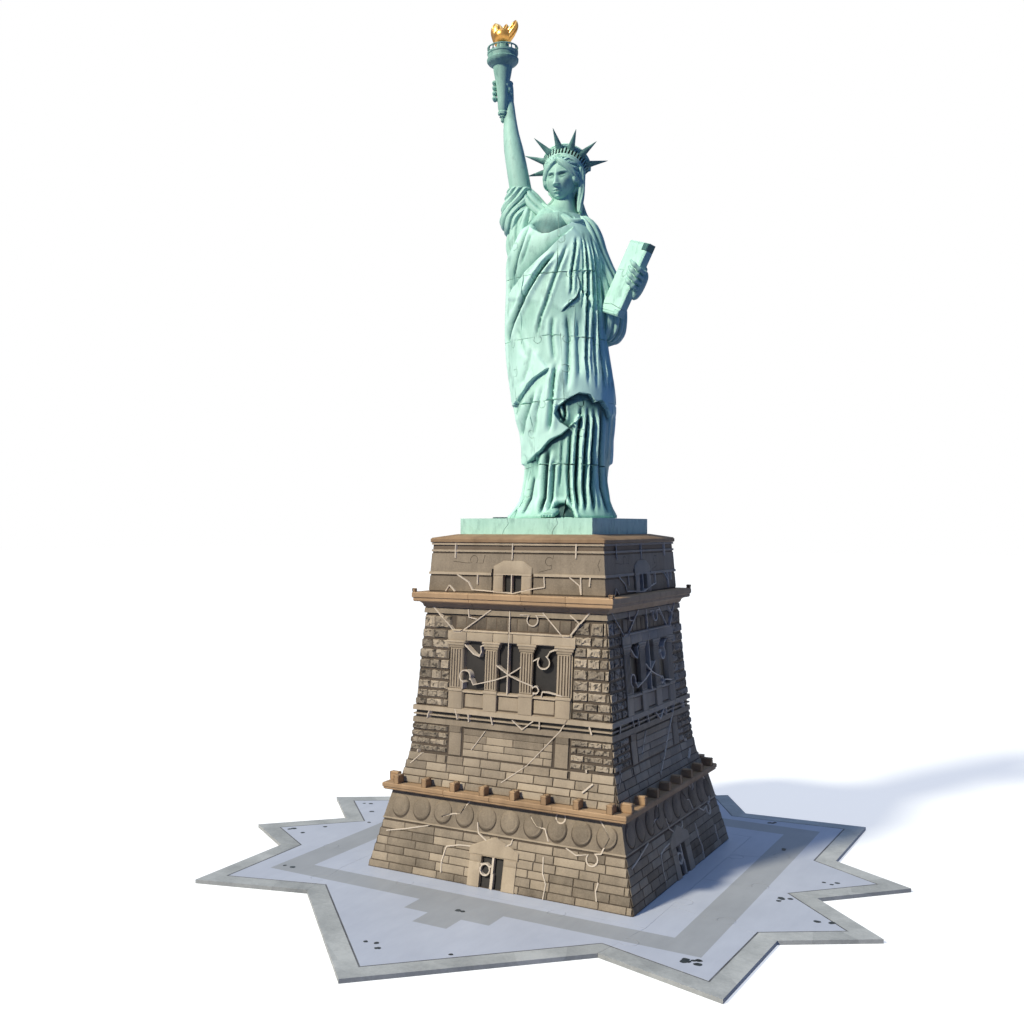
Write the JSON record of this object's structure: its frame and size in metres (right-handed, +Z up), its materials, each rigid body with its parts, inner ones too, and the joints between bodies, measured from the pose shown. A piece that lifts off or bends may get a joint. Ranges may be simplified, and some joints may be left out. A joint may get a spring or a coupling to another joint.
{
  "type": "jigsaw landmark model",
  "caption": "Tall jigsaw model of a robed torch-bearing figure on a stepped stone pedestal, standing on a flat star-shaped base; the figure lifts off its pedestal.",
  "frame": {"origin": "on the pedestal's upright axis, at the underside of the star base", "axes": "+Z up; -Y to the pedestal's front, where the star's single front point lies; +X to the figure's left, the tablet side"},
  "size_m": [0.295, 0.312, 0.3897],
  "materials": {
    "printed_base": "satin print, light grey with a mottled stone border",
    "printed_stone": "matt, moulded and printed as weathered brown stone",
    "ledge_plastic": "matt tan",
    "inner_plastic": "plain matt grey, unseen",
    "figure_plastic": "matt verdigris green with darker folds",
    "flame_gold": "gilt"
  },
  "bodies": {
    "pedestal": {"base_back": "printed_base", "base_centre": "printed_base", "base_front": "printed_base", "base_left": "printed_base", "base_right": "printed_base", "lower_deck": "inner_plastic", "lower_ledge_back": "ledge_plastic", "lower_ledge_front": "ledge_plastic", "lower_ledge_left": "ledge_plastic", "lower_ledge_right": "ledge_plastic", "lower_wall_back": "printed_stone", "lower_wall_front": "printed_stone", "lower_wall_left": "printed_stone", "lower_wall_right": "printed_stone", "middle_wall_back": "printed_stone", "middle_wall_front": "printed_stone", "middle_wall_left": "printed_stone", "middle_wall_right": "printed_stone", "top_slab": "ledge_plastic", "upper_deck": "inner_plastic", "upper_ledge_back": "ledge_plastic", "upper_ledge_front": "ledge_plastic", "upper_ledge_left": "ledge_plastic", "upper_ledge_right": "ledge_plastic", "upper_wall_back": "printed_stone", "upper_wall_front": "printed_stone", "upper_wall_left": "printed_stone", "upper_wall_right": "printed_stone"},
    "figure": {"body_formers": "inner_plastic", "broken_chain": "figure_plastic", "crown_band": "figure_plastic", "crown_rays": "figure_plastic", "figure_spine": "inner_plastic", "front_foot": "figure_plastic", "gown_chest_back": "figure_plastic", "gown_chest_front": "figure_plastic", "gown_hem_back": "figure_plastic", "gown_hem_front": "figure_plastic", "gown_hip_back": "figure_plastic", "gown_hip_front": "figure_plastic", "gown_knee_back": "figure_plastic", "gown_knee_front": "figure_plastic", "gown_waist_back": "figure_plastic", "gown_waist_front": "figure_plastic", "hair": "figure_plastic", "head": "figure_plastic", "left_hand": "figure_plastic", "left_sleeve": "figure_plastic", "plinth_back": "figure_plastic", "plinth_front": "figure_plastic", "plinth_left": "figure_plastic", "plinth_right": "figure_plastic", "plinth_top": "figure_plastic", "right_arm": "figure_plastic", "right_hand": "figure_plastic", "right_sleeve": "figure_plastic", "tablet": "figure_plastic", "torch_flame": "flame_gold", "torch_gallery": "figure_plastic", "torch_handle": "figure_plastic"}
  },
  "joints": [
    {"name": "figure_lift", "type": "slide", "parent": "pedestal", "child": "figure", "axis": [0, 0, 1], "range_m": [0, 0.02]}
  ]
}
